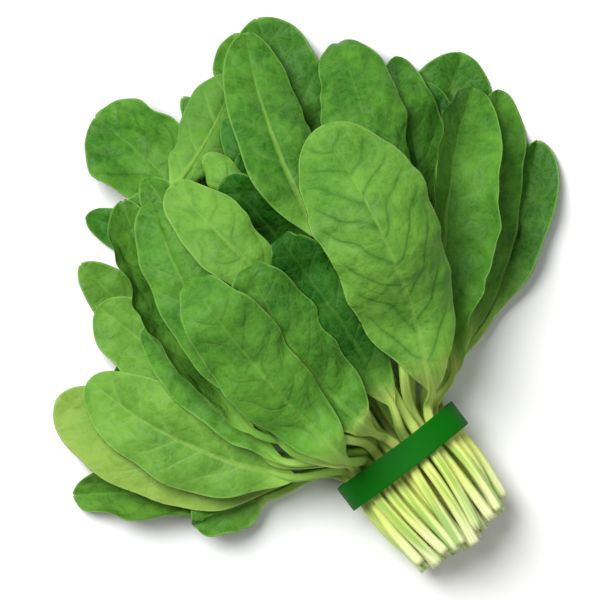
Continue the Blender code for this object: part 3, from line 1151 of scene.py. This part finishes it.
@dataclass(frozen=True)
class ElasticRubber:
    """Extruded thermoplastic elastomer band: dyed through, matt to satin, finely lined.

    The eye gets one even deep green with a soft broad sheen and faint lines along the strip.
    """

    name: str = "elastic_band_extruded_rubber"
    green: str = "#016401"
    worn: str = "#056C05"
    line: float = 0.9 * MM
    grain: float = 0.6 * MM
    patch: float = 14.0 * MM
    roughness: float = 0.55
    specular: float = 0.14

    def material(self) -> bpy.types.Material:
        """Build the node tree of the elastic.

        Returns:
            The finished material.
        """
        made, tree = bare_material(self.name)
        add = partial(add_node, tree)
        place = add("TexCoord", output="Object")
        stretched = add("Mapping", {"Vector": place, "Scale": (0.05, 1.0, 0.05)})
        lines, grain, patches = (
            add("TexNoise", {"Vector": where, "Scale": 1.0 / size, "Detail": detail})
            for where, size, detail in (
                (stretched, self.line, 2.0),
                (place, self.grain, 3.0),
                (place, self.patch, 2.0),
            )
        )
        share = add("MapRange", (patches, 0.35, 0.75, 0.0, 0.5))
        ends = {6: linear(self.green), 7: linear(self.worn)}
        colour = add("Mix", {0: share, **ends}, 2, data_type="RGBA")
        height = add("Math", (lines, 0.7, grain), operation="MULTIPLY_ADD")
        bump = add("Bump", {"Height": height, "Strength": 0.35, "Distance": 0.15 * MM})
        dullest, glossiest = self.roughness + 0.08, self.roughness - 0.06
        rubber = add(
            "BsdfPrincipled",
            {
                "Base Color": colour,
                "Roughness": add("MapRange", (grain, 0.0, 1.0, glossiest, dullest)),
                "Normal": bump,
                "IOR": 1.5,
                "Specular IOR Level": self.specular,
            },
        )
        add("OutputMaterial", (rubber,))
        return made


# In each skin the darkest vein colour is painted shade in the vein furrows, and the margin colour
# a painted highlight along the edge.
SKINS = {
    Tone.BRIGHT: LeafSkin(
        name="spinach_leaf_young_bright",
        blade="#6B9F3A",
        shade="#497E29",
        pale_vein="#81AE4F",
        vein_groove_shade="#2D6219",
        rib="#8AB052",
        margin="#82AD50",
        underside="#739E4A",
    ),
    Tone.MIDDLE: LeafSkin(
        name="spinach_leaf_grown",
        blade="#59922F",
        shade="#2F661A",
        pale_vein="#6FA043",
        vein_groove_shade="#1F5211",
        rib="#79A542",
        margin="#70A246",
        underside="#63913F",
    ),
    Tone.DEEP: LeafSkin(
        name="spinach_leaf_old_deep",
        blade="#3D7A25",
        shade="#18510E",
        pale_vein="#588B36",
        vein_groove_shade="#103D09",
        rib="#618F36",
        margin="#5C8D39",
        underside="#4F8031",
    ),
    Tone.YELLOWING: LeafSkin(
        name="spinach_leaf_yellowing",
        blade="#7BA844",
        shade="#5C8C2F",
        pale_vein="#93B75A",
        vein_groove_shade="#467722",
        rib="#98B75D",
        margin="#96B95F",
        underside="#82A952",
        gold="#95AF4C",
    ),
}


# --- Band -----------------------------------------------------------------------------------


@dataclass
class TieBand:
    """Flat elastic band drawn tight round the stems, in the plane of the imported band."""

    lowest: Vector
    highest: Vector
    segments: int = 192
    rows: int = 12
    thickness: float = 0.9 * MM
    edge_radius: float = 0.28 * MM
    edge_wander: float = 0.25 * MM
    rim_angle: float = math.radians(60.0)
    piece: bpy.types.Object | None = field(default=None, repr=False)

    def build(self) -> bpy.types.Object:
        """Make the strip, give it its thickness and round its edges.

        Returns:
            The band's piece.
        """
        middle = 0.5 * (self.lowest + self.highest)
        half = 0.5 * (self.highest - self.lowest) - Vector((self.thickness, 0.0, self.thickness))
        shape = bmesh.new()
        bmesh.ops.create_cone(
            shape, cap_ends=False, segments=self.segments, radius1=1.0, radius2=1.0, depth=2.0
        )
        bmesh.ops.subdivide_edges(
            shape,
            edges=[edge for edge in shape.edges if edge.verts[0].co.z * edge.verts[1].co.z < 0.0],
            cuts=self.rows - 1,
            use_grid_fill=True,
        )
        for vertex in shape.verts:
            across, up, along = vertex.co
            turn = math.atan2(up, across)
            wander = math.sin(3.0 * turn + 0.6) + 0.6 * math.sin(7.0 * turn + 2.0)
            vertex.co = (
                middle.x + across * half.x,
                middle.y + along * (half.y - self.edge_wander) + 0.5 * self.edge_wander * wander,
                middle.z + up * half.z,
            )
        bmesh.ops.reverse_faces(shape, faces=shape.faces)
        bmesh.ops.solidify(shape, geom=shape.faces[:], thickness=-self.thickness)
        rims = [
            edge
            for edge in shape.edges
            if len(edge.link_faces) == 2 and edge.calc_face_angle() > self.rim_angle
        ]
        bmesh.ops.bevel(
            shape,
            geom=rims,
            offset=self.edge_radius,
            segments=3,
            profile=0.5,
            affect="EDGES",
            material=-1,
        )
        bmesh.ops.recalc_face_normals(shape, faces=shape.faces)
        for face in shape.faces:
            face.smooth = True
        self.piece = put_in_scene("tie_band_elastic", shape)
        return self.piece

    def dress(self, rubber: bpy.types.Material) -> None:
        """Give the band its finish, and tie it to the frame.

        Args:
            rubber: finish of the whole band.
        """
        self.piece.data.materials.append(rubber)
        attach(self.piece, "root")
        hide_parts("tie_band")


# --- Bunch ----------------------------------------------------------------------------------

# The leaves from the bottom of the pile up, each with its own look. A low light is partly the
# leaf's own tone and partly painted shade where the leaf lies in the shade of others.
LOOKS = {
    "leaf_low_left_folded": LeafLook(
        light=-0.3, gold=0.2, left=55.0, right=15.0, wave=1.8, green_stem=0.8
    ),
    "leaf_under_left": LeafLook(light=-0.9, right=20.0, green_stem=0.8),
    "leaf_under_middle": LeafLook(light=-0.9),
    "leaf_under_top": LeafLook(light=-0.9),
    "leaf_under_right": LeafLook(left=20.0),
    "leaf_low_left_short": LeafLook(light=0.1, veins=0.6, left=20.0, wave=1.6, green_stem=0.8),
    "leaf_left_edge": LeafLook(
        light=0.1, gold=0.2, left=15.0, right=-35.0, wave=1.6, green_stem=0.8
    ),
    "leaf_left_small_tip": LeafLook(light=0.3, green_stem=0.8),
    "leaf_round_upper_left": LeafLook(
        veins=0.2, rib=0.1, left=35.0, right=30.0, wave=1.7, quilt=1.6, green_stem=0.8
    ),
    "leaf_top_tiny_tip": LeafLook(),
    "leaf_behind_top_left": LeafLook(light=0.3, rib=0.2, left=25.0, right=-20.0),
    "leaf_top_back": LeafLook(light=-0.7, rib=0.1, left=-20.0, wave=1.4),
    "leaf_top_right_back": LeafLook(light=-0.6, rib=0.1, left=-30.0, right=-30.0, wave=1.6),
    "leaf_far_right": LeafLook(light=-0.8, rib=0.1, left=20.0, wave=0.6, green_stem=0.8),
    "leaf_left_yellowing": LeafLook(
        light=0.2, gold=0.6, veins=0.7, rib=0.5, left=-15.0, green_stem=0.8
    ),
    "leaf_left_upper": LeafLook(veins=0.6, left=35.0, right=20.0, tip=2.0, green_stem=0.8),
    "leaf_left_inner_low": LeafLook(
        light=0.5, gold=0.1, left=50.0, right=30.0, wave=1.4, green_stem=0.8
    ),
    "leaf_left_inner": LeafLook(light=0.1, left=40.0, right=-30.0, slim=0.9, green_stem=0.8),
    "leaf_underside_up": LeafLook(
        light=0.2, veins=0.8, rib=0.6, left=-30.0, right=-45.0, face=Face.UNDERSIDE
    ),
    "leaf_small_inner_tip": LeafLook(light=0.3, left=-30.0, right=-30.0),
    "leaf_inner_dark": LeafLook(light=-0.6, rib=0.2, left=30.0, right=20.0),
    "leaf_right_under": LeafLook(left=20.0),
    "leaf_right_narrow": LeafLook(light=-0.6, rib=0.2, left=25.0, right=-20.0),
    "leaf_right_edge": LeafLook(rib=0.2, left=30.0, right=-25.0, wave=0.6, green_stem=0.8),
    "leaf_left_large": LeafLook(
        light=0.2, gold=0.1, veins=0.85, rib=0.5, left=-20.0, right=15.0, wave=1.2, green_stem=0.8
    ),
    "leaf_left_sliver_low": LeafLook(light=0.3, left=40.0, right=30.0, slim=0.85, green_stem=0.8),
    "leaf_left_sliver": LeafLook(left=30.0, right=40.0, slim=0.7, green_stem=0.8),
    "leaf_left_cupped": LeafLook(
        light=-0.6, gold=0.1, rib=0.15, left=62.0, right=12.0, green_stem=0.8
    ),
    "leaf_small_round": LeafLook(light=-0.2, rib=0.1, left=-55.0, right=-55.0),
    "leaf_inner_pale_edge": LeafLook(light=-0.9, rib=0.2, left=40.0, right=20.0),
    "leaf_top_left": LeafLook(light=-0.35, veins=0.5, rib=0.6, left=-25.0, right=-50.0, wave=1.3),
    "leaf_top_centre": LeafLook(light=-0.35, rib=0.15, left=-25.0, right=-35.0, wave=1.4),
    "leaf_right_tall": LeafLook(light=0.3, veins=0.5, rib=0.5, left=50.0, right=35.0, wave=0.6),
    "leaf_inner_sliver": LeafLook(light=-0.8, left=30.0, right=30.0),
    "leaf_inner_low": LeafLook(light=-0.8, left=30.0, right=30.0),
    "leaf_inner_ridge": LeafLook(light=0.2, veins=0.6, left=-20.0, right=-50.0),
    "leaf_upper_bright": LeafLook(
        light=0.2, veins=0.3, rib=0.25, left=-10.0, right=-45.0, wave=0.6
    ),
    "leaf_middle_shaded": LeafLook(light=-0.8, rib=0.2, right=-20.0),
    "leaf_middle": LeafLook(light=-0.4, rib=0.3, left=10.0, right=-40.0, wave=1.4),
    "leaf_middle_left": LeafLook(
        light=0.3, rib=0.3, left=-35.0, right=-40.0, tip=4.0, wave=1.4, green_stem=0.8
    ),
    "leaf_front_large": LeafLook(light=-0.15, veins=0.0, rib=0.25, left=-15.0, right=-38.0),
}


@dataclass
class Bunch:
    """All the leaves and the band that holds them."""

    record: dict
    nodes: dict

    def build(self) -> None:
        """Build and dress every leaf, then the band."""
        skins = {tone: skin.material() for tone, skin in SKINS.items()}
        pith = CutPith().material()
        tones = {part["node"]: part["material_slot"] for part in self.record["subparts"]}
        heap = Heap(*SOLID_BOX)
        for seed, name in enumerate(LOOKS):
            tone = Tone(tones[name])
            rings = LeafRings.read(self.nodes[name])
            leaf = Leaf(name=name, rings=rings, tone=tone, look=LOOKS[name], seed=seed)
            leaf.build(heap)
            leaf.dress(skins[tone], pith)
            LOG.info("%s: %d faces", name, len(leaf.piece.data.polygons))
        band = TieBand(*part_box("tie_band"))
        band.build()
        band.dress(ElasticRubber().material())
        LOG.info("tie_band: %d faces", len(band.piece.data.polygons))


# --- Studio ---------------------------------------------------------------------------------


@dataclass
class Studio:
    """Pale floor, soft light from one side and the camera straight above the bunch."""

    image_right: Vector = field(default_factory=lambda: Vector((0.795, -0.606, 0.0)))
    image_up: Vector = field(default_factory=lambda: Vector((0.606, 0.795, 0.0)))
    aim_from_band: Vector = field(default_factory=lambda: Vector((5.75, 83.0, 0.0)) * MM)
    focus_height: float = 45.0 * MM
    distance: float = 2.2
    field_width: float = 264.0 * MM
    sensor: float = 36.0
    floor_side: float = 12.0
    light_distance: float = 2.0
    key_power: float = 57.0
    key_size: float = 1.3
    fill_power: float = 9.0
    fill_size: float = 1.6
    sky: float = 0.09

    def aim(self) -> Vector:
        """Find the point that the camera looks at.

        Returns:
            The point, in metres.
        """
        low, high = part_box("tie_band")
        middle = 0.5 * (low + high)
        return Vector((middle.x, middle.y, self.focus_height)) + self.aim_from_band

    def build(self) -> None:
        """Make the floor, the lights and the camera."""
        self.make_floor()
        aim = self.aim()
        toward_key = -0.85 * self.image_right + 0.75 * self.image_up + Vector((0.0, 0.0, 1.7))
        self.make_light("key_softbox", aim, toward_key, self.key_size, self.key_power)
        toward_fill = 0.9 * self.image_right - 0.5 * self.image_up + Vector((0.0, 0.0, 1.6))
        self.make_light("fill_softbox", aim, toward_fill, self.fill_size, self.fill_power)
        world = bpy.data.worlds.new("studio_air")
        bpy.context.scene.world = world
        world.use_nodes = True
        background = world.node_tree.nodes["Background"]
        background.inputs["Color"].default_value = linear("#FFFFFF")
        background.inputs["Strength"].default_value = self.sky
        self.make_camera(aim)

    def make_floor(self) -> None:
        """Plain pale floor under the bunch."""
        shape = bmesh.new()
        bmesh.ops.create_grid(shape, x_segments=1, y_segments=1, size=0.5 * self.floor_side)
        floor = put_in_scene("studio_floor", shape)
        paper = bpy.data.materials.new("white_backdrop_paper")
        paper.use_nodes = True
        skin = paper.node_tree.nodes["Principled BSDF"]
        skin.inputs["Base Color"].default_value = linear("#F7F7F7")
        skin.inputs["Roughness"].default_value = 0.9
        floor.data.materials.append(paper)

    def make_light(
        self, name: str, aim: Vector, toward: Vector, size: float, power: float
    ) -> None:
        """Hang one square softbox that faces the bunch.

        Args:
            name: name of the light.
            aim: point it faces.
            toward: direction from that point to the light.
            size: length of its side.
            power: its power in watts.
        """
        offset = toward.normalized() * self.light_distance
        lamp = bpy.data.lights.new(name, "AREA")
        lamp.shape = "SQUARE"
        lamp.size = size
        lamp.energy = power
        holder = bpy.data.objects.new(name, lamp)
        bpy.context.scene.collection.objects.link(holder)
        holder.location = aim + offset
        holder.rotation_mode = "QUATERNION"
        holder.rotation_quaternion = (-offset).to_track_quat("-Z", "Y")

    def make_camera(self, aim: Vector) -> None:
        """Set the camera straight above the bunch, turned to the bunch's slant.

        Args:
            aim: point it looks at.
        """
        lens = bpy.data.cameras.new("overhead_camera")
        lens.sensor_width = self.sensor
        lens.lens = self.sensor * self.distance / self.field_width
        lens.clip_start, lens.clip_end = 0.05, 50.0
        camera = bpy.data.objects.new("overhead_camera", lens)
        bpy.context.scene.collection.objects.link(camera)
        turned = Matrix((self.image_right, self.image_up, Vector((0.0, 0.0, 1.0)))).transposed()
        camera.location = aim + Vector((0.0, 0.0, self.distance))
        camera.rotation_mode = "QUATERNION"
        camera.rotation_quaternion = turned.to_quaternion()
        bpy.context.scene.camera = camera


def main() -> None:
    """Build the bunch and the studio, and log how many faces each piece has."""
    logging.basicConfig(level=logging.INFO, format="%(name)s: %(message)s")
    bpy.context.scene.view_settings.view_transform = "Standard"
    Bunch(frame["record"], frame["nodes"]).build()
    Studio().build()
    LOG.info("sizes written")


if __name__ == "__main__":
    main()
